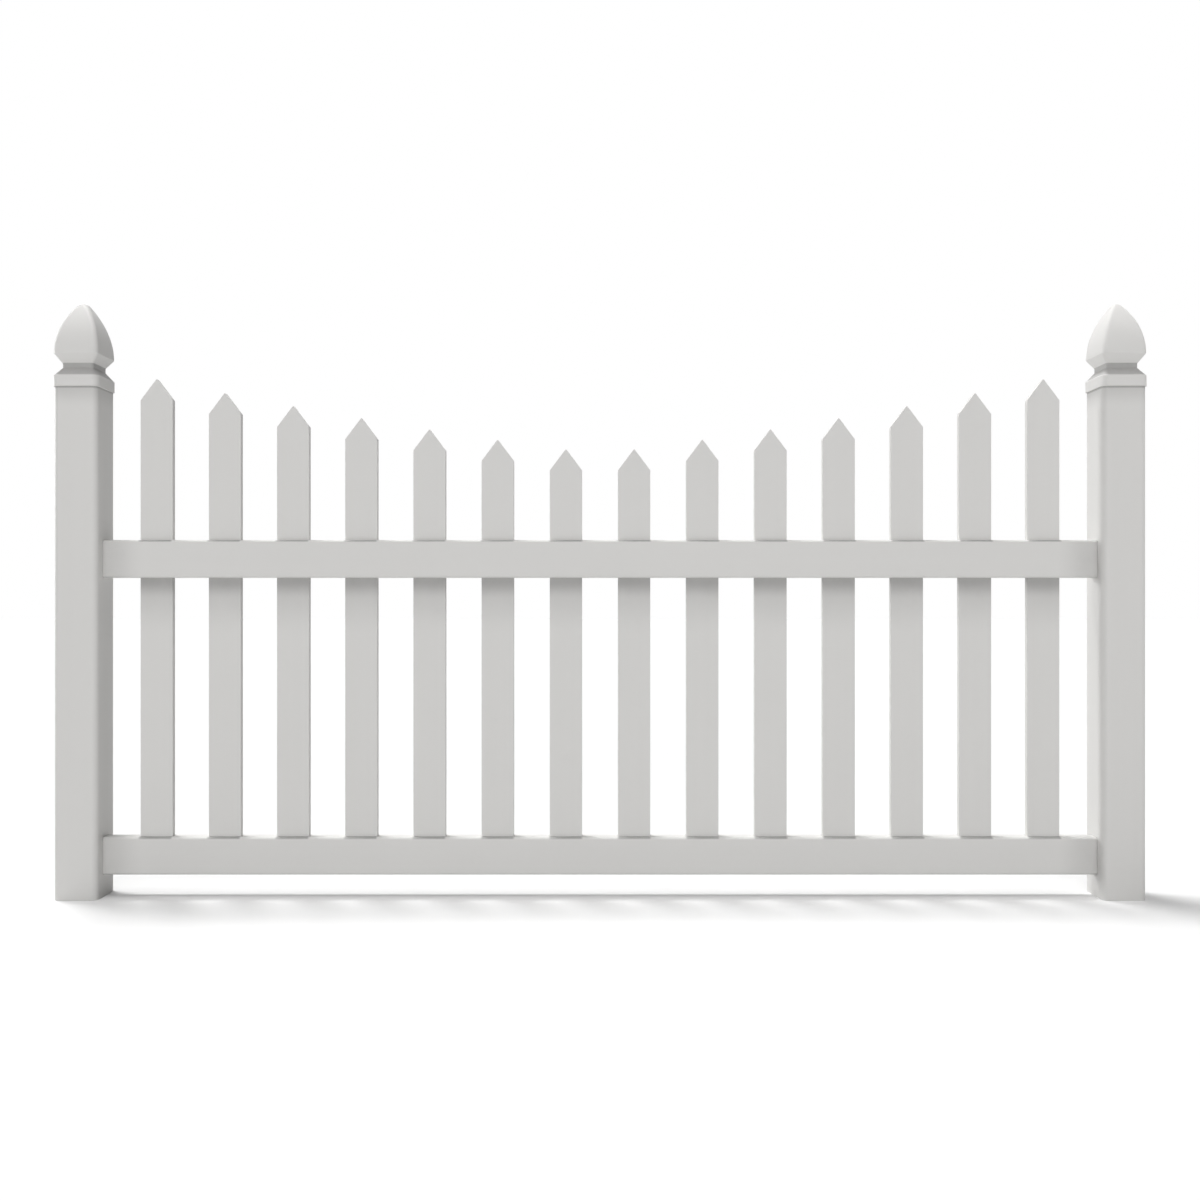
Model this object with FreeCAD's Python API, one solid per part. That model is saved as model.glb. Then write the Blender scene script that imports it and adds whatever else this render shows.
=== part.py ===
import FreeCAD, Part
import math
import os

# Scalloped vinyl picket fence panel, in millimetres.
# The origin is at the centre of the left post's foot, on the ground. +X runs along the fence to
# the right post, +Y to the back and +Z up.

# Posts: square hollow sleeves, open at the foot
post_spacing = 2438.4
post_width = 101.6
post_wall = 3.8
post_corner_radius = 12.7
post_height = 1219.2

# Rails: hollow, with each end pushed through a mortise in a post's inner face
rail_depth = 38.1
rail_height = 88.9
rail_wall = 2.5
rail_corner_radius = 6.35
bottom_rail_above_ground = 52.3
gap_between_rails = 609.6
rail_end_in_post = 28.0

# Pickets: hollow, with a closed pointed top
picket_count = 14
picket_width = 76.2
picket_thickness = 15.9
picket_wall = 1.8
picket_edge_radius = 2.0
picket_point_height = 50.8
picket_tip_radius = 2.0

# Scallop: the tip of the tallest picket, how far the middle ones lie below it, and how far the
# tips between them hang below a straight line
tallest_picket_top = 1219.2
scallop_drop = 165.1
scallop_sag = 9.2

# Gothic post caps: skirt, sloping shoulder, neck, flared underside and a swelling dome
cap_wall = 2.9
cap_skirt_cover = 23.8
cap_skirt_height = 25.2
cap_shoulder_rise = 19.9
cap_neck_width = 73.0
cap_neck_corner_radius = 6.0
cap_neck_height = 10.5
cap_flare_rise = 21.7
cap_dome_width = 104.0
cap_dome_edge_radius = 8.0
cap_dome_rise = 124.3
cap_tip_radius = 17.0
cap_tip_flat = 8.0
cap_stop_width = 4.6

# Clearances
mortise_clearance = 0.3
slot_clearance = 0.3
cap_clearance = 0.3

# Values worked out from those above
Y_AXIS = FreeCAD.Vector(0, 1, 0)
Z_AXIS = FreeCAD.Vector(0, 0, 1)
left_post_face = post_width / 2
right_post_face = post_spacing - post_width / 2
top_rail_above_ground = bottom_rail_above_ground + rail_height + gap_between_rails
picket_gap = (right_post_face - left_post_face - picket_count * picket_width) / (picket_count + 1)
picket_pitch = picket_width + picket_gap
picket_foot = bottom_rail_above_ground + rail_wall


def rounded_outline(width, depth, radius):
    """Closed outline of a rectangle with round corners, centred on the origin in the XY plane."""
    x = width / 2
    y = depth / 2
    arcs = []
    for quarter, (x_side, y_side) in enumerate(((1, 1), (-1, 1), (-1, -1), (1, -1))):
        centre = FreeCAD.Vector(x_side * (x - radius), y_side * (y - radius), 0)
        angles = [(quarter + share / 2) * math.pi / 2 for share in range(3)]
        points = [centre + FreeCAD.Vector(math.cos(a), math.sin(a), 0) * radius for a in angles]
        arcs.append(Part.Arc(*points))
    edges = []
    for arc, following in zip(arcs, arcs[1:] + arcs[:1]):
        edges.append(arc.toShape())
        edges.append(Part.LineSegment(arc.EndPoint, following.StartPoint).toShape())
    return Part.Wire(edges)


def rounded_bar(width, depth, radius, length):
    """Upright bar with round edges, from z = 0 up."""
    return Part.Face(rounded_outline(width, depth, radius)).extrude(Z_AXIS * length)


def placed(shape, x=0.0, y=0.0, z=0.0):
    """Moves a shape and returns it."""
    shape.translate(FreeCAD.Vector(x, y, z))
    return shape


def along_x(shape):
    """Lays an upright shape along +X: its width becomes its height."""
    shape.rotate(FreeCAD.Vector(0, 0, 0), Y_AXIS, 90)
    return shape


def inner_radius(radius, wall):
    """Radius inside a round corner: what the wall leaves of it, or half the wall if that is more."""
    return max(radius - wall, wall / 2)


def picket_centres():
    """Places of the pickets along the fence, from left to right."""
    first = left_post_face + picket_gap + picket_width / 2
    return [first + number * picket_pitch for number in range(picket_count)]


def picket_top(number):
    """Height of a picket's tip: the scallop runs down from each end to the middle of the panel."""
    steps_from_end = min(number, picket_count - 1 - number)
    steps_to_middle = (picket_count - 1) // 2
    share = steps_from_end / max(steps_to_middle, 1)
    return tallest_picket_top - scallop_drop * share - 4 * scallop_sag * share * (1 - share)


def make_post(side):
    """Hollow post whose inner face, on the given side (+1 right, -1 left), has two rail mortises."""
    bore = post_width - 2 * post_wall
    post = rounded_bar(post_width, post_width, post_corner_radius, post_height)
    post = post.cut(rounded_bar(bore, bore, inner_radius(post_corner_radius, post_wall), post_height))
    height = rail_height + mortise_clearance
    depth = rail_depth + 2 * mortise_clearance
    start = 0 if side > 0 else -post_width / 2
    mortises = []
    for underside in (bottom_rail_above_ground, top_rail_above_ground):
        mortise = along_x(rounded_bar(height, depth, rail_corner_radius, post_width / 2))
        mortises.append(placed(mortise, x=start, z=underside + height / 2))
    return post.cut(mortises)


def make_rail(underside, slot_height):
    """Hollow rail between the posts, with picket slots punched from its top to the given depth."""
    start = left_post_face - rail_end_in_post
    length = right_post_face + rail_end_in_post - start
    bore_height = rail_height - 2 * rail_wall
    bore_depth = rail_depth - 2 * rail_wall
    bore_radius = inner_radius(rail_corner_radius, rail_wall)
    rail = rounded_bar(rail_height, rail_depth, rail_corner_radius, length)
    rail = rail.cut(rounded_bar(bore_height, bore_depth, bore_radius, length))
    rail = placed(along_x(rail), x=start, z=underside + rail_height / 2)
    slot_width = picket_width + 2 * slot_clearance
    slot_depth = picket_thickness + 2 * slot_clearance
    slots = []
    for x in picket_centres():
        slot = Part.makeBox(slot_width, slot_depth, slot_height)
        slot_foot = underside + rail_height - slot_height
        slots.append(placed(slot, x=x - slot_width / 2, y=-slot_depth / 2, z=slot_foot))
    return rail.cut(slots)


def pointed_prism(width, depth, foot, apex, tip_radius):
    """Upright board with a pointed top: the outline seen from the front, pushed through in Y."""
    half_angle = math.atan2(picket_width / 2, picket_point_height)
    shoulder = apex - (width / 2) / math.tan(half_angle)
    tip_centre = apex - tip_radius / math.sin(half_angle)
    tangent_x = tip_radius * math.cos(half_angle)
    tangent_z = tip_centre + tip_radius * math.sin(half_angle)
    x = width / 2
    y = -depth / 2
    outline = [(-x, shoulder), (-x, foot), (x, foot), (x, shoulder), (tangent_x, tangent_z)]
    points = [FreeCAD.Vector(px, y, pz) for px, pz in outline]
    left_tangent = FreeCAD.Vector(-tangent_x, y, tangent_z)
    tip = Part.Arc(points[-1], FreeCAD.Vector(0, y, tip_centre + tip_radius), left_tangent)
    edges = [Part.LineSegment(a, b).toShape() for a, b in zip(points, points[1:])]
    edges.append(tip.toShape())
    edges.append(Part.LineSegment(left_tangent, points[0]).toShape())
    return Part.Face(Part.Wire(edges)).extrude(Y_AXIS * depth)


def make_picket(top):
    """Hollow picket standing on the bottom rail's inner floor, closed at its pointed top."""
    half_angle = math.atan2(picket_width / 2, picket_point_height)
    apex = top + picket_tip_radius / math.sin(half_angle) - picket_tip_radius
    outline = pointed_prism(picket_width, picket_thickness, picket_foot, apex, picket_tip_radius)
    bar = rounded_bar(picket_width, picket_thickness, picket_edge_radius, top - picket_foot)
    picket = placed(bar, z=picket_foot).common(outline)
    inner_apex = apex - picket_wall / math.sin(half_angle)
    inner_width = picket_width - 2 * picket_wall
    inner_depth = picket_thickness - 2 * picket_wall
    inner_tip_radius = inner_radius(picket_tip_radius, picket_wall)
    return picket.cut(pointed_prism(inner_width, inner_depth, picket_foot, inner_apex, inner_tip_radius))


def cap_levels():
    """Heights of a cap's breaks in outline, from the skirt's lower edge to the dome's base."""
    skirt_foot = post_height - cap_skirt_cover
    shoulder = skirt_foot + cap_skirt_height
    neck = shoulder + cap_shoulder_rise
    flare = neck + cap_neck_height
    dome = flare + cap_flare_rise
    return skirt_foot, shoulder, neck, flare, dome


def corner_reach(half, radius):
    """Distance from the middle of a square to its round corner, along the diagonal."""
    return (half - radius) * math.sqrt(2) + radius


def dome_arcs(inset, base):
    """Side outline of the dome, set in by the inset: an arc that starts upright, then a round tip.

    Each arc is three points, as reach from the axis and height.
    """
    half = cap_dome_width / 2
    flat_drop = cap_tip_radius - math.sqrt(cap_tip_radius ** 2 - (cap_tip_flat / 2) ** 2)
    tip_centre = cap_dome_rise - cap_tip_radius + flat_drop
    swell = (half ** 2 + tip_centre ** 2 - cap_tip_radius ** 2) / (2 * (half - cap_tip_radius))
    meeting = math.atan2(tip_centre, swell - half)
    end = math.acos(cap_tip_flat / 2 / cap_tip_radius)
    arcs = []
    for centre_reach, centre_rise, radius, first, last in (
        (half - swell, 0, swell - inset, 0, meeting),
        (0, tip_centre, cap_tip_radius - inset, meeting, end),
    ):
        angles = (first, (first + last) / 2, last)
        arcs.append([
            (centre_reach + radius * math.cos(a), base + centre_rise + radius * math.sin(a)) for a in angles
        ])
    return arcs


def half_outline(breaks, arcs):
    """Face between the axis and one side of a cap: straight between the breaks, then the arcs."""
    points = [FreeCAD.Vector(reach, 0, z) for reach, z in breaks]
    edges = [Part.LineSegment(a, b).toShape() for a, b in zip(points, points[1:])]
    for arc in arcs:
        edges.append(Part.Arc(*[FreeCAD.Vector(reach, 0, z) for reach, z in arc]).toShape())
    tip_reach, tip_z = arcs[-1][-1]
    tip = FreeCAD.Vector(tip_reach, 0, tip_z)
    axis_top = FreeCAD.Vector(0, 0, tip_z)
    axis_foot = FreeCAD.Vector(0, 0, points[0].z)
    for a, b in ((tip, axis_top), (axis_top, axis_foot), (axis_foot, points[0])):
        edges.append(Part.LineSegment(a, b).toShape())
    return Part.Face(Part.Wire(edges))


def arched_bar(breaks, arcs, turn):
    """Outline of both sides of a cap, pushed through along Y and then turned about the axis."""
    widest = max(reach for reach, _ in breaks)
    half = placed(half_outline(breaks, arcs).extrude(Y_AXIS * 2 * widest), y=-widest)
    bar = half.fuse(half.mirror(FreeCAD.Vector(0, 0, 0), FreeCAD.Vector(1, 0, 0))).removeSplitter()
    bar.rotate(FreeCAD.Vector(0, 0, 0), Z_AXIS, turn)
    return bar


def cap_form(breaks, inset):
    """What four arched bars share: two give the sides and two, along the diagonals, the soft corners.

    Each break in the outline is half a width, a corner radius and a height.
    """
    sides = [(half, z) for half, _, z in breaks]
    corners = [(corner_reach(half, radius), z) for half, radius, z in breaks]
    spread = corners[-1][0] / sides[-1][0]
    side_arcs = dome_arcs(inset, sides[-1][1])
    corner_arcs = [[(reach * spread, z) for reach, z in arc] for arc in side_arcs]
    form = arched_bar(sides, side_arcs, 0).common(arched_bar(sides, side_arcs, 90))
    for turn in (45, 135):
        form = form.common(arched_bar(corners, corner_arcs, turn))
    return form


def make_cap():
    """Hollow gothic cap: its skirt goes round the post and an inner stop rests on the post's top."""
    skirt_foot, shoulder, neck, flare, dome = cap_levels()
    bore = post_width + 2 * cap_clearance
    bore_radius = post_corner_radius + cap_clearance
    skirt = bore / 2 + cap_wall
    skirt_radius = bore_radius + cap_wall
    neck_half = cap_neck_width / 2
    outside = cap_form([
        (skirt, skirt_radius, skirt_foot),
        (skirt, skirt_radius, shoulder),
        (neck_half, cap_neck_corner_radius, neck),
        (neck_half, cap_neck_corner_radius, flare),
        (cap_dome_width / 2, cap_dome_edge_radius, dome),
    ], 0)
    stop = bore / 2 - cap_stop_width
    stop_radius = inner_radius(bore_radius, cap_stop_width)
    throat = neck_half - cap_wall
    throat_radius = inner_radius(cap_neck_corner_radius, cap_wall)
    slope = cap_shoulder_rise / (skirt - neck_half)
    wall_drop = cap_wall * math.hypot(1, slope)
    hollow = cap_form([
        (stop, stop_radius, post_height),
        (stop, stop_radius, shoulder + slope * (skirt - stop) - wall_drop),
        (throat, throat_radius, shoulder + slope * (skirt - throat) - wall_drop),
        (throat, throat_radius, flare),
        (cap_dome_width / 2 - cap_wall, inner_radius(cap_dome_edge_radius, cap_wall), dome),
    ], cap_wall)
    post_seat = placed(rounded_bar(bore, bore, bore_radius, cap_skirt_cover), z=skirt_foot)
    return outside.cut([hollow, post_seat])


def main():
    """Builds every piece and writes one file for each."""
    os.makedirs("parts", exist_ok=True)
    pieces = {
        "left_post": make_post(1),
        "right_post": placed(make_post(-1), x=post_spacing),
        "left_post_cap": make_cap(),
        "right_post_cap": placed(make_cap(), x=post_spacing),
        "bottom_rail": make_rail(bottom_rail_above_ground, rail_height / 2),
        "top_rail": make_rail(top_rail_above_ground, rail_height),
    }
    for number, x in enumerate(picket_centres()):
        pieces[f"picket_{number + 1:02d}"] = placed(make_picket(picket_top(number)), x=x)
    for name, shape in pieces.items():
        shape.exportStep(f"parts/{name}.step")


main()
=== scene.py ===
import math

import bmesh
import bpy
from bpy.props import FloatProperty, FloatVectorProperty, IntProperty, PointerProperty
from mathutils import Matrix, Vector


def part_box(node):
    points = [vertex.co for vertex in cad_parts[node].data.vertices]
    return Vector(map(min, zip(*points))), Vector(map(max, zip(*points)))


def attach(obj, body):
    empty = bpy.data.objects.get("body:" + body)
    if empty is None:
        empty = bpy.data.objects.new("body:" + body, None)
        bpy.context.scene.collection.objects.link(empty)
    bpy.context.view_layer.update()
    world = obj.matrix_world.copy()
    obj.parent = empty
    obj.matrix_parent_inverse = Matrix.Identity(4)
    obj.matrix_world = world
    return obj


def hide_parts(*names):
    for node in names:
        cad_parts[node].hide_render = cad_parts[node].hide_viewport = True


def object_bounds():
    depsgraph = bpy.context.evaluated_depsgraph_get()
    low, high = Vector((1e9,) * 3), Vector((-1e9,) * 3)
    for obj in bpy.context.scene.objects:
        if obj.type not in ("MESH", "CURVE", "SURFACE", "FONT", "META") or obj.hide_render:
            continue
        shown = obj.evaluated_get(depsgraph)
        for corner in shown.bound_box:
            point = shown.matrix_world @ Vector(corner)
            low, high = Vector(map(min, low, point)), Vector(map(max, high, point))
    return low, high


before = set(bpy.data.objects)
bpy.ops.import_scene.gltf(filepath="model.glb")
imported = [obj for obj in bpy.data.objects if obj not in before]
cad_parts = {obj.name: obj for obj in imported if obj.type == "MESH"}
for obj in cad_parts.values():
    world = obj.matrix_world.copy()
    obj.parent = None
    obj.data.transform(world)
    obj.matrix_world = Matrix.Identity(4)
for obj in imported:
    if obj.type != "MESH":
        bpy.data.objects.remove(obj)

bl_info = {
    "name": "Scalloped picket fence panel",
    "version": (1, 0, 0),
    "blender": (4, 5, 0),
    "location": "3D View > Sidebar > Fence",
    "description": "Makes the posts, caps, rails and pickets of a vinyl fence panel, and its studio",
    "category": "Add Mesh",
}

CAD_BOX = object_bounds()
INNER_SIDE = {"left_post": 1, "right_post": -1}
CAPS = ("left_post_cap", "right_post_cap")
RAILS = ("bottom_rail", "top_rail")
PICKETS = sorted(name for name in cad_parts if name.startswith("picket_"))
POST_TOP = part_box("left_post")[1].z
CAP_LOW, CAP_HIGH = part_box("left_post_cap")

# How far a surface's lines are drawn out along each axis
DRAWN_ALONG_X = (0.012, 1.0, 1.0)
DRAWN_ALONG_Z = (1.0, 1.0, 0.012)
NOT_DRAWN = (1.0, 1.0, 1.0)

# Bumps in a metre of what varies over the vinyl: slow drift of tone, handling marks, bands and
# lines along a drawn piece, and the fine grain
DRIFT_BUMPS = 2.1
MARK_BUMPS = 23.0
BAND_BUMPS = 46.0
LINE_BUMPS = 520.0
DRAWN_GRAIN = 1300.0
MOULDED_GRAIN = 850.0

# Facets in the curves of a cap and along the rounded edges of a picket
DOME_STEPS = 36
VAULT_STEPS = 18
HIP_STEPS = 8
SIDE_STEPS = 6
SOFT_STEPS = 5
EDGE_STEPS = 4

# Distance within which vertices are merged
WELD = 0.00001


def length(name, description, default):
    """A size in metres that a user can change."""
    return FloatProperty(
        name=name, description=description, default=default, min=0.0, precision=4,
        subtype="DISTANCE", unit="LENGTH",
    )


def share(name, description, default, highest=1.0):
    """A plain number from nothing up to the highest."""
    return FloatProperty(
        name=name, description=description, default=default, min=0.0, max=highest, precision=3
    )


def colour(name, description, default):
    """A colour, written in linear red, green and blue."""
    return FloatVectorProperty(
        name=name, description=description, default=default, min=0.0, max=1.0, size=3, subtype="COLOR"
    )


def angle(name, description, degrees):
    """An angle that a user can change."""
    return FloatProperty(
        name=name, description=description, default=math.radians(degrees), subtype="ANGLE", unit="ROTATION"
    )


class FenceSizes(bpy.types.PropertyGroup):
    """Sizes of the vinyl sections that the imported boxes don't give."""

    post_wall: length("Post wall", "Thickness of the posts' walls", 0.0038)
    post_corner: length("Post corner", "Outer radius of the posts' corners", 0.0127)
    rail_wall: length("Rail wall", "Thickness of the rails' walls", 0.0025)
    rail_corner: length("Rail corner", "Outer radius of the rails' edges", 0.00635)
    clearance: length("Clearance", "Room left round a rail in its mortise and a picket in its slot", 0.0003)
    picket_wall: length("Picket wall", "Thickness of the pickets' walls", 0.0018)
    picket_edge: length("Picket edge", "Radius of the pickets' upright edges", 0.002)
    picket_point: length("Picket point", "Height of the point above the pickets' shoulders", 0.0508)
    picket_tip: length("Picket tip", "Radius of the very tip of a picket", 0.002)
    corner_steps: IntProperty(
        name="Corner steps", description="Facets in a round corner", default=10, min=2, max=32
    )


class CapSizes(bpy.types.PropertyGroup):
    """Sizes of the gothic post caps, from the skirt up to the tip."""

    wall: length("Wall", "Thickness of the moulded wall", 0.0029)
    skirt_height: length("Skirt height", "Height of the upright skirt round the post", 0.0252)
    shoulder_rise: length("Shoulder rise", "Height of the slope from the skirt in to the neck", 0.0199)
    neck_width: length("Neck width", "Width of the square neck", 0.073)
    neck_corner: length("Neck corner", "Radius of the neck's corners", 0.006)
    neck_height: length("Neck height", "Height of the upright neck", 0.0105)
    flare_rise: length("Flare rise", "Height of the underside between the neck and the dome", 0.0217)
    dome_width: length("Dome width", "Width of the dome at its foot", 0.104)
    dome_hip: length("Dome hip", "Radius of the dome's four hips", 0.0105)
    tip_radius: length("Tip radius", "Radius at the top of the dome", 0.017)
    tip_flat: length("Tip flat", "Width of the small flat on the very top", 0.008)
    stop: length("Stop", "Width of the ledge inside that bears on the post's top edge", 0.0046)
    soft_edge: length("Soft edge", "Radius of the breaks between the cap's bands", 0.0018)


class VinylFinish(bpy.types.PropertyGroup):
    """Colours and surface detail of the vinyl, and the painted shade laid on it."""

    drawn_colour: colour("Extruded colour", "White of the posts, rails and pickets", (0.825, 0.817, 0.799))
    moulded_colour: colour("Moulded colour", "White of the post caps", (0.83, 0.822, 0.804))
    roughness: share("Roughness", "Roughness of the satin surface", 0.5)
    gloss: share("Gloss", "Strength of the satin sheen, where 0.5 is that of bare plastic", 0.2)
    drift: share("Tone drift", "How far the white drifts along a piece", 0.03)
    die_lines: share("Die lines", "Strength of the faint lines that the die leaves along a piece", 0.22)
    grain: share("Grain", "Strength of the fine grain", 0.18)
    # Painted shade: a dark colour laid on in creases, under the caps' skirts and the top rail, beside the
    # posts and round the pickets' feet
    painted_shade_colour: colour("Dust colour", "Colour of the dust that rain doesn't reach", (0.31, 0.305, 0.30))
    neck_painted_shade: share("Cap dust", "How much dust lies round the caps' necks", 0.62)
    skirt_painted_shade: share("Post dust", "How much dust lies close under the caps' skirts", 0.7)
    rail_end_painted_shade: share("Rail dust", "How much dust lies on the rails beside the posts", 0.3)
    under_rail_painted_shade: share("Picket dust", "How much dust lies under the top rail", 0.6)
    foot_painted_shade: share("Foot dust", "How much dust lies on the rails round the pickets' feet", 0.75)


class StageSettings(bpy.types.PropertyGroup):
    """Floor, light and camera of the studio."""

    floor_white: colour("Floor", "Colour of the floor as the camera sees it", (0.99, 0.99, 0.99))
    floor_bounce: colour("Floor bounce", "Colour of the light that the floor returns", (0.62, 0.62, 0.62))
    floor_glow: share("Floor glow", "How much of the floor's white shows in the shadows too", 0.08)
    room_light: share("Room light", "Strength of the even light from all round", 0.01, 4.0)
    back_strength: share("Back lamp", "Strength of the high lamp behind the panel on the left", 1.8, 20.0)
    back_height: angle("Back lamp height", "How high the back lamp stands over the floor", 76.0)
    back_turn: angle("Back lamp turn", "Turn of the back lamp from the front to the right", -130.0)
    back_spread: angle("Back lamp spread", "How wide the back lamp looks from the panel", 14.0)
    top_strength: share("Top lamp", "Strength of the lamp overhead, a little to the front", 1.05, 20.0)
    top_height: angle("Top lamp height", "How high the top lamp stands over the floor", 76.0)
    top_turn: angle("Top lamp turn", "Turn of the top lamp from the front to the right", 0.0)
    top_spread: angle("Top lamp spread", "How wide the top lamp looks from the panel", 40.0)
    side_strength: share("Side lamp", "Strength of the low lamp behind the panel on the left", 1.36, 20.0)
    side_height: angle("Side lamp height", "How high the side lamp stands over the floor", 12.0)
    side_turn: angle("Side lamp turn", "Turn of the side lamp from the front to the right", -118.0)
    side_spread: angle("Side lamp spread", "How wide the side lamp looks from the panel", 24.0)
    front_strength: share("Front lamp", "Strength of the lamp behind the camera", 1.33, 20.0)
    front_height: angle("Front lamp height", "How high the front lamp stands over the floor", 6.0)
    front_turn: angle("Front lamp turn", "Turn of the front lamp from the front to the right", 0.0)
    front_spread: angle("Front lamp spread", "How wide the front lamp looks from the panel", 40.0)
    lens: FloatProperty(
        name="Lens", description="Focal length of the camera", default=35.0, min=1.0, unit="CAMERA"
    )
    camera_distance: length("Camera distance", "From the camera to the middle of the panel", 2.7592)


class Wire:
    """An output socket. Python's operators on it add Math nodes to its tree."""

    def __init__(self, bench, socket):
        self.bench = bench
        self.socket = socket

    def beside(self, name):
        """Another output of the same node."""
        return Wire(self.bench, self.socket.node.outputs[name])

    def math(self, operation, first, second=0.0):
        return self.bench.add("ShaderNodeMath", {"operation": operation}, {0: first, 1: second})

    def __add__(self, other):
        return self.math("ADD", self, other)

    def __radd__(self, other):
        return self.math("ADD", other, self)

    def __sub__(self, other):
        return self.math("SUBTRACT", self, other)

    def __rsub__(self, other):
        return self.math("SUBTRACT", other, self)

    def __mul__(self, other):
        return self.math("MULTIPLY", self, other)

    def __rmul__(self, other):
        return self.math("MULTIPLY", other, self)

    def __truediv__(self, other):
        return self.math("DIVIDE", self, other)

    def __rtruediv__(self, other):
        return self.math("DIVIDE", other, self)

    def __pow__(self, other):
        return self.math("POWER", self, other)

    def __abs__(self):
        return self.math("ABSOLUTE", self)

    def __lt__(self, other):
        return self.math("LESS_THAN", self, other)

    def __gt__(self, other):
        return self.math("GREATER_THAN", self, other)


class Bench:
    """A node tree, with one way to add any node to it."""

    def __init__(self, tree):
        self.tree = tree

    def add(self, kind, settings=None, inputs=None, output=0):
        """Adds a node, sets it up, fills or links its sockets, and returns one of its outputs."""
        node = self.tree.nodes.new(kind)
        for name, value in (settings or {}).items():
            setattr(node, name, value)
        for key, value in (inputs or {}).items():
            for item in value if isinstance(value, list) else [value]:
                if isinstance(item, Wire):
                    self.tree.links.new(item.socket, node.inputs[key])
                else:
                    node.inputs[key].default_value = item
        return Wire(self, node.outputs[output]) if node.outputs else node

    def noise(self, place, scale, detail=2.0, roughness=0.5):
        """Soft noise from 0 to 1 at that many bumps a metre."""
        sockets = {"Vector": place, "Scale": scale, "Detail": detail, "Roughness": roughness}
        return self.add("ShaderNodeTexNoise", {"noise_dimensions": "3D"}, sockets)

    def ramp(self, value, low, high):
        """A soft rise from 0 at the low value to 1 at the high value."""
        sockets = {"Value": value, "From Min": low, "From Max": high, "To Min": 0.0, "To Max": 1.0}
        return self.add("ShaderNodeMapRange", {"interpolation_type": "SMOOTHSTEP", "clamp": True}, sockets)

    def band(self, value, start, full, ebb, end):
        """1 from full to ebb, with a soft rise before it and a soft fall after it."""
        return self.ramp(value, start, full) * (1 - self.ramp(value, ebb, end))

    def mix(self, factor, first, second):
        """A colour between two colours."""
        settings = {"data_type": "RGBA", "blend_type": "MIX"}
        return self.add("ShaderNodeMix", settings, {0: factor, 6: first, 7: second}, output=2)

    def seen(self):
        """1 for what the camera sees, straight or in a reflection, and 0 for light that lights pieces."""
        path = self.add("ShaderNodeLightPath", output="Is Camera Ray")
        rays = path + path.beside("Is Glossy Ray") + path.beside("Is Transmission Ray")
        return rays.math("MINIMUM", rays, 1.0)

    def cut(self, solid, tool):
        """A solid with another cut out of it."""
        settings = {"operation": "DIFFERENCE", "solver": "EXACT"}
        return self.add("GeometryNodeMeshBoolean", settings, {"Mesh 1": solid, "Mesh 2": tool})

    def weld(self, shape):
        """A mesh whose vertices are merged where they meet."""
        return self.add("GeometryNodeMergeByDistance", None, {"Geometry": shape, "Distance": WELD})


def opaque(rgb, level=1.0):
    """A colour at a level of brightness, with no transparency."""
    return tuple(min(1.0, part * level) for part in rgb) + (1.0,)


def vinyl(name, white, finish, stretch, line_share, grain_scale, painted_shade_bands, feet=()):
    """Satin white vinyl: a slow drift of tone, lines along the way it was drawn, and a fine grain.

    The stretch says how far each axis is drawn out, so the lines run along the axis with the least.
    A band of painted shade is an axis, four places on it, between which the painted shade comes in, lies
    and goes, and how much of it there is; it darkens the colour where shade falls in creases and under
    overhangs. A row of feet is where pickets stand on a rail: the middle of the first, the pitch, half a
    picket's width, the height of the rail's top and how much painted shade lies there, round each foot.
    """
    material = bpy.data.materials.new(name)
    material.use_nodes = True
    bench = Bench(material.node_tree)
    shader = material.node_tree.nodes["Principled BSDF"]
    place = bench.add("ShaderNodeTexCoord", output="Object")
    drawn = bench.add("ShaderNodeVectorMath", {"operation": "MULTIPLY"}, {0: place, 1: stretch})
    drift = bench.noise(place, DRIFT_BUMPS, 2.0)
    bands = bench.noise(drawn, BAND_BUMPS, 1.0)
    lines = bench.noise(drawn, LINE_BUMPS, 2.0, 0.6)
    grain = bench.noise(place, grain_scale, 2.0, 0.6)
    marks = bench.noise(place, MARK_BUMPS, 4.0, 0.62)
    rubbed = bench.ramp(marks, 0.6, 0.74)
    lines = lines * line_share + 0.5 * (1.0 - line_share)
    bands = bands * line_share + 0.5 * (1.0 - line_share)
    tone = drift * 0.55 + bands * 0.25 + lines * 0.12 + grain * 0.08
    pale = bench.mix(tone, opaque(white, 1.0 - finish.drift), opaque(white, 1.0 + finish.drift))
    surface = bench.mix(rubbed * 0.5, pale, opaque(white, 1.0 - finish.drift / 2))
    axes = bench.add("ShaderNodeSeparateXYZ", None, {"Vector": place}, output="X")
    layers = []
    # Painted shade: bands along an axis, darker where shade falls in creases and under overhangs
    for axis, start, full, ebb, end, amount in painted_shade_bands:
        layers.append(bench.band(axes.beside(axis), start, full, ebb, end) * amount)
    blur = 0.004
    # Painted shade on a rail's top round each picket's foot
    for first, pitch, reach, top, amount in feet:
        away = axes.math("PINGPONG", axes - first, pitch / 2)
        close = 1 - bench.ramp(away, reach - blur, reach + blur)
        upper = bench.band(axes.beside("Z"), top - 0.006, top - 0.002, top + 0.002, top + 0.01)
        layers.append(close * upper * amount)
    # Each layer of painted shade pulls the colour towards the dark shade colour
    for painted_shade in layers:
        surface = bench.mix(painted_shade * (0.8 + marks * 0.4), surface, opaque(finish.painted_shade_colour))
    rough = finish.roughness - 0.06 + bands * 0.05 + lines * 0.04 + grain * 0.03 + rubbed * 0.05
    bumps = lines * finish.die_lines + bands * 0.12 + grain * finish.grain
    relief = bench.add("ShaderNodeBump", None, {"Strength": 0.25, "Distance": 0.0004, "Height": bumps})
    for socket, wire in (("Base Color", surface), ("Roughness", rough), ("Normal", relief)):
        material.node_tree.links.new(wire.socket, shader.inputs[socket])
    shader.inputs["IOR"].default_value = 1.53
    shader.inputs["Specular IOR Level"].default_value = finish.gloss
    return material


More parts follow.
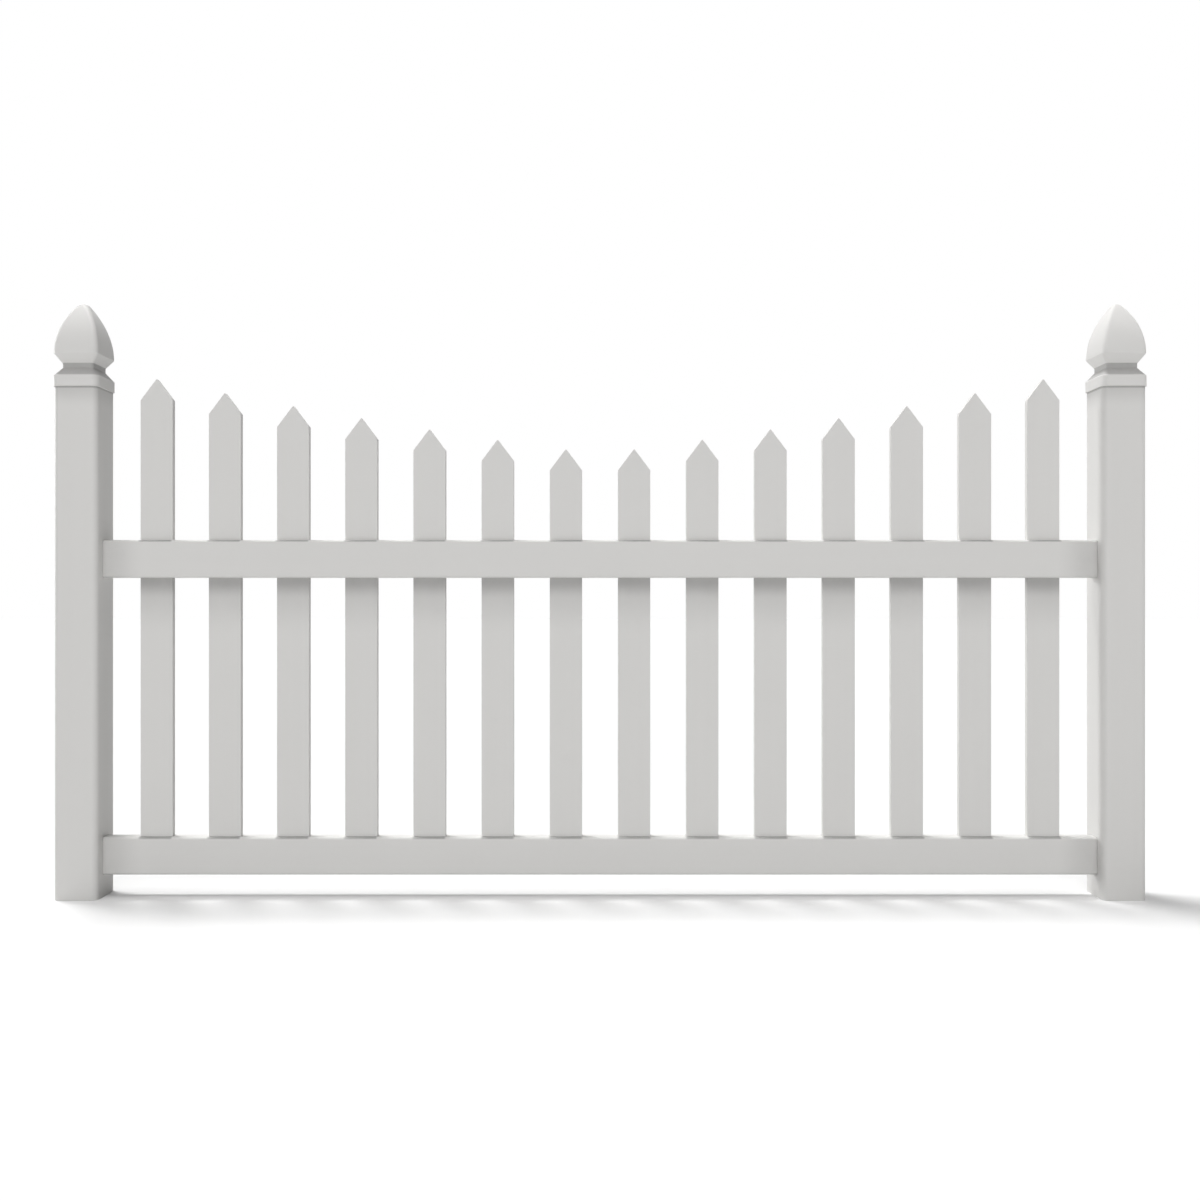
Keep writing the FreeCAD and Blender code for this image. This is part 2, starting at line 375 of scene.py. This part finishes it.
def drawn_vinyl(name, finish, stretch, painted_shade_bands, feet=()):
    """Vinyl that was drawn through a die, with all its lines."""
    return vinyl(name, finish.drawn_colour, finish, stretch, 1.0, DRAWN_GRAIN, painted_shade_bands, feet)


def new_tree(name, sizes, counts=()):
    """A Geometry Nodes tree with named inputs. Returns its bench and its inputs as wires."""
    tree = bpy.data.node_groups.new(name, "GeometryNodeTree")
    for size in sizes:
        tree.interface.new_socket(size, in_out="INPUT", socket_type="NodeSocketFloat")
    for count in counts:
        tree.interface.new_socket(count, in_out="INPUT", socket_type="NodeSocketInt")
    tree.interface.new_socket("Material", in_out="INPUT", socket_type="NodeSocketMaterial")
    tree.interface.new_socket("Geometry", in_out="OUTPUT", socket_type="NodeSocketGeometry")
    bench = Bench(tree)
    entry = tree.nodes.new("NodeGroupInput")
    wires = {item.name: Wire(bench, item) for item in entry.outputs if item.name}
    return bench, wires


def finish_tree(bench, shape, material):
    """Ends a tree in real geometry with its material."""
    real = bench.add("GeometryNodeRealizeInstances", None, {"Geometry": shape})
    coated = bench.add("GeometryNodeSetMaterial", None, {"Geometry": real, "Material": material})
    bench.add("NodeGroupOutput", None, {"Geometry": coated})
    return bench.tree


def closed_bar(bench, outline, start, end):
    """The filled outline pushed from start to end along Z, closed at both ends."""
    face = bench.add("GeometryNodeFillCurve", {"mode": "NGONS"}, {"Curve": outline})
    at_start = bench.add("ShaderNodeCombineXYZ", None, {"Z": start})
    foot = bench.add("GeometryNodeTransform", None, {"Geometry": face, "Translation": at_start})
    pushed = bench.add(
        "GeometryNodeExtrudeMesh",
        {"mode": "FACES"},
        {"Mesh": foot, "Offset": (0.0, 0.0, 1.0), "Offset Scale": end - start, "Individual": False},
    )
    under = bench.add("GeometryNodeFlipFaces", None, {"Mesh": foot})
    both = bench.add("GeometryNodeJoinGeometry", None, {"Geometry": [pushed, under]})
    return bench.weld(both)


def round_outline(bench, width, depth, radius, steps):
    """A rectangle with round corners, in the XY plane."""
    sides = {"Width": width, "Height": depth}
    plain = bench.add("GeometryNodeCurvePrimitiveQuadrilateral", {"mode": "RECTANGLE"}, sides)
    sockets = {"Curve": plain, "Count": steps, "Radius": radius, "Limit Radius": True}
    return bench.add("GeometryNodeFilletCurve", {"mode": "POLY"}, sockets)


def section_tree():
    """Hollow vinyl section standing on Z, with a row of holes through its wall on the X side."""
    bench, wires = new_tree(
        "Hollow section with holes",
        (
            "Width", "Depth", "Length", "Wall", "Corner", "First Hole", "Hole Pitch",
            "Hole Length", "Hole Depth", "Hole Corner", "Hole From", "Hole To",
        ),
        ("Hole Count", "Corner Steps"),
    )
    steps = wires["Corner Steps"]
    wall = wires["Wall"]
    width, depth, corner = wires["Width"], wires["Depth"], wires["Corner"]
    foot = wires["Length"] * 0.0
    overrun = 0.01
    outside = round_outline(bench, width, depth, corner, steps)
    core = round_outline(bench, width - 2 * wall, depth - 2 * wall, corner - wall, steps)
    solid = closed_bar(bench, outside, foot, wires["Length"])
    bore = closed_bar(bench, core, foot - overrun, wires["Length"] + overrun)
    hollow = bench.cut(solid, bore)
    mouth = round_outline(bench, wires["Hole Length"], wires["Hole Depth"], wires["Hole Corner"], steps)
    punch = closed_bar(bench, mouth, wires["Hole From"], wires["Hole To"])
    sideways = (0.0, math.pi / 2, 0.0)
    punch = bench.add("GeometryNodeTransform", None, {"Geometry": punch, "Rotation": sideways})
    first = bench.add("ShaderNodeCombineXYZ", None, {"Z": wires["First Hole"]})
    pitch = bench.add("ShaderNodeCombineXYZ", None, {"Z": wires["Hole Pitch"]})
    row = bench.add(
        "GeometryNodeMeshLine",
        {"mode": "OFFSET", "count_mode": "TOTAL"},
        {"Count": wires["Hole Count"], "Start Location": first, "Offset": pitch},
    )
    punches = bench.add("GeometryNodeInstanceOnPoints", None, {"Points": row, "Instance": punch})
    punches = bench.add("GeometryNodeRealizeInstances", None, {"Geometry": punches})
    return finish_tree(bench, bench.cut(hollow, punches), wires["Material"])


def picket_tree():
    """Flat upright board with a pointed top, made from a grid that follows the point's outline."""
    bench, wires = new_tree(
        "Pointed picket",
        ("Width", "Thickness", "Foot", "Tip", "Point", "Tip Radius", "Slope Edge Share"),
        ("Columns",),
    )
    half = wires["Width"] / 2
    point = wires["Point"]
    radius = wires["Tip Radius"]
    flank = (half * half + point * point) ** 0.5
    apex = wires["Tip"] + radius * (flank / half - 1)
    squares = {"Size X": 2.0, "Size Y": 2.0, "Vertices X": wires["Columns"], "Vertices Y": 3}
    grid = bench.add("GeometryNodeMeshGrid", None, squares)
    place = bench.add("GeometryNodeInputPosition")
    across = bench.add("ShaderNodeSeparateXYZ", None, {"Vector": place})
    row = across.beside("Y")
    crowding = 1.8
    side = across.math("SIGN", across)
    reach = abs(across) ** crowding * half
    straight = apex - reach * point / half
    under = radius * radius - reach * reach
    arc = wires["Tip"] - radius + under.math("MAXIMUM", under, 0.0) ** 0.5
    near_tip = reach < radius * point / flank
    top = straight + (arc - straight) * near_tip
    shoulder = apex - point * 1.2
    upper = row > 0.5
    lower = row < -0.5
    height = wires["Foot"] * lower + top * upper + shoulder * (1 - lower - upper)
    spot = {"X": side * reach, "Y": wires["Thickness"] / 2, "Z": height}
    moved = bench.add("ShaderNodeCombineXYZ", None, spot)
    back = bench.add("GeometryNodeSetPosition", None, {"Geometry": grid, "Position": moved})
    board = bench.add(
        "GeometryNodeExtrudeMesh",
        {"mode": "FACES"},
        {"Mesh": back, "Offset": (0.0, -1.0, 0.0), "Offset Scale": wires["Thickness"], "Individual": False},
    )
    behind = bench.add("GeometryNodeFlipFaces", None, {"Mesh": back})
    both = bench.add("GeometryNodeJoinGeometry", None, {"Geometry": [board, behind]})
    closed = bench.weld(both)
    ends = bench.add("GeometryNodeInputMeshEdgeVertices", output="Position 1")
    other = ends.beside("Position 2")
    run = bench.add("ShaderNodeVectorMath", {"operation": "SUBTRACT"}, {0: ends, 1: other})
    run = bench.add("ShaderNodeVectorMath", {"operation": "NORMALIZE"}, {0: run})
    parts = bench.add("ShaderNodeSeparateXYZ", None, {"Vector": run})
    upright = abs(parts.beside("Z")) > 0.98
    through = abs(parts.beside("Y")) > 0.5
    sharp = bench.add("GeometryNodeInputMeshEdgeAngle") > math.radians(40)
    weight = sharp * (1 - through) * (upright + (1 - upright) * wires["Slope Edge Share"])
    weighed = bench.add(
        "GeometryNodeStoreNamedAttribute",
        {"data_type": "FLOAT", "domain": "EDGE"},
        {"Geometry": closed, "Name": "bevel_weight_edge", "Value": weight},
    )
    return finish_tree(bench, weighed, wires["Material"])


def plain_mesh(holder):
    """The mesh that an object's modifiers give, as plain mesh data."""
    bpy.context.view_layer.update()
    graph = bpy.context.evaluated_depsgraph_get()
    finished = holder.evaluated_get(graph)
    mesh = bpy.data.meshes.new_from_object(finished, preserve_all_data_layers=True, depsgraph=graph)
    if not mesh.polygons:
        raise RuntimeError(f"{holder.name} came out empty")
    return mesh


def grow(name, tree, values):
    """Runs a tree with the given input values and returns a plain mesh."""
    holder = bpy.data.objects.new(name, bpy.data.meshes.new(name))
    bpy.context.scene.collection.objects.link(holder)
    modifier = holder.modifiers.new(tree.name, "NODES")
    modifier.node_group = tree
    for item in tree.interface.items_tree:
        if item.in_out == "INPUT":
            modifier[item.identifier] = values[item.name]
    mesh = plain_mesh(holder)
    bpy.data.objects.remove(holder)
    if mesh.materials[0] is None:
        mesh.materials.pop(index=0)
    return mesh


def shaded(name, mesh, edge_width=0.0, hollow=None):
    """A new object with soft shading on the curves and true flats.

    Its edges are rounded by their weights, and the hollow, where there is one, is cut out of it.
    """
    mesh.shade_smooth()
    mesh.set_sharp_from_angle(angle=math.radians(38))
    holder = bpy.data.objects.new(name, mesh)
    bpy.context.scene.collection.objects.link(holder)
    if edge_width:
        bevel = holder.modifiers.new("Rounded edges", "BEVEL")
        bevel.limit_method = "WEIGHT"
        bevel.width = edge_width
        bevel.segments = EDGE_STEPS
        bevel.use_clamp_overlap = True
    if hollow:
        core = bpy.data.objects.new(f"{name}_core", hollow)
        bpy.context.scene.collection.objects.link(core)
        core.hide_render = True
        cut = holder.modifiers.new("Hollow inside", "BOOLEAN")
        cut.operation = "DIFFERENCE"
        cut.solver = "EXACT"
        cut.object = core
    weighted = holder.modifiers.new("Flat faces stay flat", "WEIGHTED_NORMAL")
    weighted.mode = "FACE_AREA"
    weighted.keep_sharp = not edge_width
    finished = plain_mesh(holder)
    bpy.data.objects.remove(holder)
    if hollow:
        bpy.data.objects.remove(core)
    piece = bpy.data.objects.new(name, finished)
    bpy.context.scene.collection.objects.link(piece)
    return piece


def settle(piece, node):
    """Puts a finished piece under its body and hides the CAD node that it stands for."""
    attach(piece, "root")
    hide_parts(node)


def middle(node):
    """Middle of a CAD node's box."""
    low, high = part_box(node)
    return (low + high) / 2


class FENCE_OT_posts(bpy.types.Operator):
    """Make the two hollow posts, each with the mortises that the rails go into"""

    bl_idname = "fence.make_posts"
    bl_label = "Make posts"

    def execute(self, context):
        sizes = context.scene.fence_sizes
        finish = context.scene.fence_finish
        brim = CAP_LOW.z
        behind_skirt = (brim + 0.002, brim + 0.01)
        # Painted shade close under the cap's skirt: a soft band darker towards the skirt and a thin dark
        # line at its edge
        painted_shade_bands = (
            ("Z", brim - 0.05, brim, *behind_skirt, finish.skirt_painted_shade / 3),
            ("Z", brim - 0.006, brim - 0.001, *behind_skirt, finish.skirt_painted_shade),
        )
        coat = drawn_vinyl("post_vinyl_drawn", finish, DRAWN_ALONG_Z, painted_shade_bands)
        tree = section_tree()
        rail_low, rail_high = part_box("bottom_rail")
        for node, side in INNER_SIDE.items():
            low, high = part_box(node)
            width = high.x - low.x
            mesh = grow(node, tree, {
                "Width": width,
                "Depth": high.y - low.y,
                "Length": high.z - low.z,
                "Wall": sizes.post_wall,
                "Corner": sizes.post_corner,
                "First Hole": middle("bottom_rail").z - low.z,
                "Hole Pitch": middle("top_rail").z - middle("bottom_rail").z,
                "Hole Length": rail_high.z - rail_low.z + 2 * sizes.clearance,
                "Hole Depth": rail_high.y - rail_low.y + 2 * sizes.clearance,
                "Hole Corner": sizes.rail_corner,
                "Hole From": min(0.0, side * width),
                "Hole To": max(0.0, side * width),
                "Hole Count": 2,
                "Corner Steps": sizes.corner_steps,
                "Material": coat,
            })
            mesh.transform(Matrix.Translation((middle(node).x, middle(node).y, low.z)))
            settle(shaded(f"{node}_sleeve", mesh), node)
        return {"FINISHED"}


class FENCE_OT_rails(bpy.types.Operator):
    """Make the two hollow rails, with a slot punched for every picket"""

    bl_idname = "fence.make_rails"
    bl_label = "Make rails"

    def execute(self, context):
        sizes = context.scene.fence_sizes
        finish = context.scene.fence_finish
        left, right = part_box("left_post")[1].x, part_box("right_post")[0].x
        in_left_post = (left - 0.03, left - 0.02)
        in_right_post = (right + 0.02, right + 0.03)
        thick, thin = 0.004, 0.1
        # Painted shade on the rails, darker towards each post
        painted_shade_bands = (
            ("X", *in_left_post, left + thick, left + thin, finish.rail_end_painted_shade),
            ("X", right - thin, right - thick, *in_right_post, finish.rail_end_painted_shade),
        )
        picket_low, picket_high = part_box(PICKETS[0])
        first = middle(PICKETS[0]).x
        pitch = (middle(PICKETS[-1]).x - first) / (len(PICKETS) - 1)
        reach = (picket_high.x - picket_low.x) / 2
        # Painted shade on each rail's top round the pickets' feet
        feet = [(first, pitch, reach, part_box(node)[1].z, finish.foot_painted_shade) for node in RAILS]
        coat = drawn_vinyl("rail_vinyl_drawn", finish, DRAWN_ALONG_X, painted_shade_bands, feet)
        tree = section_tree()
        for node in RAILS:
            low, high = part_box(node)
            height = high.z - low.z
            mesh = grow(node, tree, {
                "Width": height,
                "Depth": high.y - low.y,
                "Length": high.x - low.x,
                "Wall": sizes.rail_wall,
                "Corner": sizes.rail_corner,
                "First Hole": first - low.x,
                "Hole Pitch": pitch,
                "Hole Length": picket_high.x - picket_low.x + 2 * sizes.clearance,
                "Hole Depth": picket_high.y - picket_low.y + 2 * sizes.clearance,
                "Hole Corner": sizes.picket_edge,
                "Hole From": -height,
                "Hole To": 0.0 if node == "bottom_rail" else height,
                "Hole Count": len(PICKETS),
                "Corner Steps": sizes.corner_steps,
                "Material": coat,
            })
            mesh.transform(Matrix.Rotation(math.pi / 2, 4, "Y"))
            mesh.transform(Matrix.Translation((low.x, middle(node).y, middle(node).z)))
            settle(shaded(f"{node}_section", mesh), node)
        return {"FINISHED"}


class FENCE_OT_pickets(bpy.types.Operator):
    """Make the row of pointed pickets, each as tall as the scallop has it"""

    bl_idname = "fence.make_pickets"
    bl_label = "Make pickets"

    def execute(self, context):
        sizes = context.scene.fence_sizes
        finish = context.scene.fence_finish
        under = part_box("top_rail")[0].z
        in_rail = (under + 0.002, under + 0.01)
        # Painted shade under the top rail: a soft band reaching well down and a darker one close under the
        # rail
        painted_shade_bands = (
            ("Z", under - 0.14, under, *in_rail, finish.under_rail_painted_shade / 2),
            ("Z", under - 0.05, under - 0.004, *in_rail, finish.under_rail_painted_shade),
        )
        coat = drawn_vinyl("picket_vinyl_drawn", finish, DRAWN_ALONG_Z, painted_shade_bands)
        tree = picket_tree()
        wall = sizes.picket_wall
        for node in PICKETS:
            low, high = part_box(node)
            width = high.x - low.x
            steepness = sizes.picket_point / (width / 2)
            outer = {
                "Width": width,
                "Thickness": high.y - low.y,
                "Foot": low.z,
                "Tip": high.z,
                "Point": sizes.picket_point,
                "Tip Radius": sizes.picket_tip,
                "Slope Edge Share": 0.4,
                "Columns": 25,
                "Material": coat,
            }
            inner = dict(outer)
            inner["Width"] = width - 2 * wall
            inner["Thickness"] = outer["Thickness"] - 2 * wall
            inner["Foot"] = low.z - wall
            inner["Tip"] = high.z - wall
            inner["Point"] = steepness * inner["Width"] / 2
            inner["Tip Radius"] = sizes.picket_tip - wall
            inner["Columns"] = 9
            place = Matrix.Translation((middle(node).x, middle(node).y, 0.0))
            board = grow(node, tree, outer)
            hollow = grow(f"{node}_hollow", tree, inner)
            board.transform(place)
            hollow.transform(place)
            piece = shaded(f"{node}_board", board, sizes.picket_edge, hollow)
            settle(piece, node)
        return {"FINISHED"}


def softened(breaks, steps):
    """Rounds each break of an outline by its own radius.

    A break is a reach, a height, a corner radius and the radius that rounds it; what comes back are
    reaches, heights and corner radii in order.
    """
    points = []
    for before, here, after in zip([breaks[0]] + breaks[:-1], breaks, breaks[1:] + [breaks[-1]]):
        spot = Vector(here[:2])
        back = Vector(before[:2]) - spot
        ahead = Vector(after[:2]) - spot
        if not here[3] or back.length == 0 or ahead.length == 0:
            points.append(tuple(here[:3]))
            continue
        bend = back.angle(ahead) / 2
        cut = min(here[3] / math.tan(bend), back.length / 2, ahead.length / 2)
        start = spot + back.normalized() * cut
        end = spot + ahead.normalized() * cut
        centre = spot + (back.normalized() + ahead.normalized()).normalized() * (cut / math.cos(bend))
        radius = (start - centre).length
        for step in range(steps + 1):
            aim = (start - centre).lerp(end - centre, step / steps).normalized() * radius
            points.append((centre.x + aim.x, centre.y + aim.y, here[2]))
    return points


def dome_outline(cap, inset, base, top, steps):
    """Reaches and heights up the dome's side: an arc that starts upright, then a round tip."""
    half = cap.dome_width / 2
    drop = cap.tip_radius - math.sqrt(cap.tip_radius ** 2 - (cap.tip_flat / 2) ** 2)
    tip_centre = top - base - cap.tip_radius + drop
    swell = (half ** 2 + tip_centre ** 2 - cap.tip_radius ** 2) / (2 * (half - cap.tip_radius))
    meeting = math.atan2(tip_centre, swell - half)
    end = math.acos(cap.tip_flat / 2 / cap.tip_radius)
    points = []
    radius = swell - inset
    for step in range(steps + 1):
        bearing = meeting * step / steps
        points.append((half - swell + radius * math.cos(bearing), base + radius * math.sin(bearing)))
    radius = cap.tip_radius - inset
    for step in range(1, steps // 3 + 1):
        bearing = meeting + (end - meeting) * step / (steps // 3)
        points.append((radius * math.cos(bearing), base + tip_centre + radius * math.sin(bearing)))
    return points


def round_square(half, radius, height):
    """Points round a square with round corners, anticlockwise from above."""
    radius = min(radius, 0.9 * half)
    inner = half - radius
    points = []
    for quarter, (x_side, y_side) in enumerate(((1, 1), (-1, 1), (-1, -1), (1, -1))):
        for step in range(HIP_STEPS + 1):
            bearing = (quarter + step / HIP_STEPS) * math.pi / 2
            x = x_side * inner + radius * math.cos(bearing)
            y = y_side * inner + radius * math.sin(bearing)
            points.append(Vector((x, y, height)))
        last = points[-1]
        turn = (quarter + 1) * math.pi / 2
        along = Vector((-math.sin(turn), math.cos(turn), 0.0)) * 2 * inner
        for step in range(1, SIDE_STEPS):
            points.append(last + along * step / SIDE_STEPS)
    return points


def cap_levels(cap):
    """Heights of the breaks in a cap: the skirt's top, the neck's foot and top, and the dome's foot."""
    shoulder = CAP_LOW.z + cap.skirt_height
    neck = shoulder + cap.shoulder_rise
    flare = neck + cap.neck_height
    return shoulder, neck, flare, flare + cap.flare_rise


def cap_rings(cap, sizes, spot):
    """Rings of the cap's skin, from the inside of the tip down to the skirt and up to the outer tip."""
    low, high = CAP_LOW.z, CAP_HIGH.z
    skirt = (CAP_HIGH.x - CAP_LOW.x) / 2
    seat = skirt - cap.wall
    seat_corner = sizes.post_corner + sizes.clearance
    skirt_corner = seat_corner + cap.wall
    neck = cap.neck_width / 2
    shoulder, neck_foot, flare, dome = cap_levels(cap)
    ledge = seat - cap.stop
    throat = neck - cap.wall
    slope = cap.shoulder_rise / (skirt - neck)
    drop = cap.wall * math.hypot(1.0, slope)
    soft = cap.soft_edge
    vault = dome_outline(cap, cap.wall, dome, high, VAULT_STEPS)
    inside = [(reach, z, cap.dome_hip - cap.wall) for reach, z in reversed(vault)]
    inside += [
        (throat, flare, cap.neck_corner - cap.wall),
        (throat, shoulder + slope * (skirt - throat) - drop, cap.neck_corner - cap.wall),
        (ledge, shoulder + slope * (skirt - ledge) - drop, seat_corner - cap.stop),
        (ledge, POST_TOP, seat_corner - cap.stop),
        (seat, POST_TOP, seat_corner),
    ]
    outside = softened([
        (seat, low, seat_corner, 0.0),
        (skirt, low, skirt_corner, soft / 2),
        (skirt, shoulder, skirt_corner, soft),
        (neck, neck_foot, cap.neck_corner, soft),
        (neck, flare, cap.neck_corner, soft),
        (cap.dome_width / 2, dome, cap.dome_hip, soft),
        (cap.dome_width / 2, dome + 2 * soft, cap.dome_hip, 0.0),
    ], SOFT_STEPS)[:-1]
    climb = dome_outline(cap, 0.0, dome, high, DOME_STEPS)
    start = outside[-1][1] + 0.0005
    outside += [(reach, z, cap.dome_hip) for reach, z in climb if z > start]
    over_post = Vector((spot.x, spot.y, 0.0))
    return [
        [point + over_post for point in round_square(reach, corner, z)]
        for reach, z, corner in inside + outside
    ]


def skin(name, rings):
    """A closed mesh over rings of points, with a fan over the first and the last ring."""
    builder = bmesh.new()
    rows = [[builder.verts.new(point) for point in ring] for ring in rings]
    for lower, upper in zip(rows, rows[1:]):
        for here, there in zip(range(len(lower)), list(range(1, len(lower))) + [0]):
            builder.faces.new((lower[here], lower[there], upper[there], upper[here]))
    for row, turned in ((rows[0], True), (rows[-1], False)):
        pole = builder.verts.new(sum((vert.co for vert in row), Vector()) / len(row))
        for here, there in zip(row, row[1:] + row[:1]):
            builder.faces.new((there, here, pole) if turned else (here, there, pole))
    mesh = bpy.data.meshes.new(name)
    builder.to_mesh(mesh)
    builder.free()
    return mesh


class FENCE_OT_caps(bpy.types.Operator):
    """Make the two gothic post caps: skirt, neck and swelling dome, hollow as they are moulded"""

    bl_idname = "fence.make_caps"
    bl_label = "Make caps"

    def execute(self, context):
        finish = context.scene.fence_finish
        cap = context.scene.fence_cap
        shoulder, _, flare, _ = cap_levels(cap)
        # Painted shade on the cap's shoulder and neck, under the dome's flare
        painted_shade_bands = (("Z", shoulder - 0.0005, shoulder + 0.004, flare, flare + 0.002, finish.neck_painted_shade),)
        white = finish.moulded_colour
        coat = vinyl("cap_vinyl_moulded", white, finish, NOT_DRAWN, 0.0, MOULDED_GRAIN, painted_shade_bands)
        for node in CAPS:
            mesh = skin(node, cap_rings(cap, context.scene.fence_sizes, middle(node)))
            mesh.materials.append(coat)
            settle(shaded(f"{node}_shell", mesh), node)
        return {"FINISHED"}


def floor_material(stage):
    """Pale floor: white to the camera, duller for the light that it sends back."""
    material = bpy.data.materials.new("studio_floor")
    material.use_nodes = True
    bench = Bench(material.node_tree)
    shader = material.node_tree.nodes["Principled BSDF"]
    seen = bench.seen()
    tint = bench.mix(seen, opaque(stage.floor_bounce), opaque(stage.floor_white, 1 - stage.floor_glow))
    glow = bench.mix(seen, opaque((0.0, 0.0, 0.0)), opaque((1.0, 1.0, 1.0), stage.floor_glow))
    for socket, wire in (("Base Color", tint), ("Emission Color", glow)):
        material.node_tree.links.new(wire.socket, shader.inputs[socket])
    shader.inputs["Emission Strength"].default_value = 1.0
    shader.inputs["Roughness"].default_value = 0.9
    shader.inputs["Specular IOR Level"].default_value = 0.0
    return material


def room_world(stage):
    """Even light from all round, which the camera sees as plain white."""
    world = bpy.data.worlds.new("studio_room")
    world.use_nodes = True
    bench = Bench(world.node_tree)
    seen = bench.seen()
    strength = seen + (1 - seen) * stage.room_light
    background = world.node_tree.nodes["Background"]
    background.inputs["Color"].default_value = (1.0, 1.0, 1.0, 1.0)
    world.node_tree.links.new(strength.socket, background.inputs["Strength"])
    return world


def add_lamp(name, strength, height, turn, spread):
    """A soft lamp far away, at a height over the floor and a turn from the front to the right."""
    data = bpy.data.lights.new(name, "SUN")
    data.energy = strength
    data.angle = spread
    lamp = bpy.data.objects.new(name, data)
    out = math.cos(height)
    toward = Vector((out * math.sin(turn), -out * math.cos(turn), math.sin(height)))
    lamp.rotation_euler = toward.to_track_quat("Z", "Y").to_euler()
    bpy.context.scene.collection.objects.link(lamp)


class FENCE_OT_stage(bpy.types.Operator):
    """Make the floor, the lamps, the room's light and the camera"""

    bl_idname = "fence.make_stage"
    bl_label = "Make stage"

    def execute(self, context):
        stage = context.scene.fence_stage
        centre = (CAD_BOX[0] + CAD_BOX[1]) / 2
        mesh = bpy.data.meshes.new("studio_floor")
        reach = 40.0
        level = -0.0002
        corners = [(-reach, -reach), (reach, -reach), (reach, reach), (-reach, reach)]
        mesh.from_pydata([(centre.x + x, y, level) for x, y in corners], [], [(0, 1, 2, 3)])
        floor = bpy.data.objects.new("studio_floor", mesh)
        mesh.materials.append(floor_material(stage))
        context.scene.collection.objects.link(floor)
        context.scene.world = room_world(stage)
        settings = ("strength", "height", "turn", "spread")
        for lamp in ("back", "top", "side", "front"):
            add_lamp(f"{lamp}_lamp", *[getattr(stage, f"{lamp}_{setting}") for setting in settings])
        data = bpy.data.cameras.new("fence_camera")
        data.lens = stage.lens
        data.sensor_width = 36.0
        data.clip_end = 200.0
        camera = bpy.data.objects.new("fence_camera", data)
        camera.location = (centre.x, centre.y - stage.camera_distance, centre.z)
        camera.rotation_euler = (math.pi / 2, 0.0, 0.0)
        context.scene.collection.objects.link(camera)
        context.scene.camera = camera
        context.scene.view_settings.view_transform = "Standard"
        return {"FINISHED"}


class FENCE_PT_panel(bpy.types.Panel):
    """Sizes, finish and stage of the fence panel, with a button for each group of pieces"""

    bl_label = "Picket fence panel"
    bl_idname = "FENCE_PT_panel"
    bl_space_type = "VIEW_3D"
    bl_region_type = "UI"
    bl_category = "Fence"

    def draw(self, context):
        scene = context.scene
        for settings in (scene.fence_sizes, scene.fence_cap, scene.fence_finish, scene.fence_stage):
            box = self.layout.box()
            for name in settings.__annotations__:
                box.prop(settings, name)
        for operator in OPERATORS:
            self.layout.operator(operator.bl_idname)


SETTINGS = {
    "fence_sizes": FenceSizes,
    "fence_cap": CapSizes,
    "fence_finish": VinylFinish,
    "fence_stage": StageSettings,
}
OPERATORS = (FENCE_OT_posts, FENCE_OT_caps, FENCE_OT_rails, FENCE_OT_pickets, FENCE_OT_stage)
CLASSES = tuple(SETTINGS.values()) + OPERATORS + (FENCE_PT_panel,)


def register():
    for item in CLASSES:
        bpy.utils.register_class(item)
    for name, group in SETTINGS.items():
        setattr(bpy.types.Scene, name, PointerProperty(type=group))


def unregister():
    for name in SETTINGS:
        delattr(bpy.types.Scene, name)
    for item in reversed(CLASSES):
        bpy.utils.unregister_class(item)


def main():
    register()
    bpy.ops.fence.make_posts()
    bpy.ops.fence.make_caps()
    bpy.ops.fence.make_rails()
    bpy.ops.fence.make_pickets()
    bpy.ops.fence.make_stage()


if __name__ == "__main__":
    main()
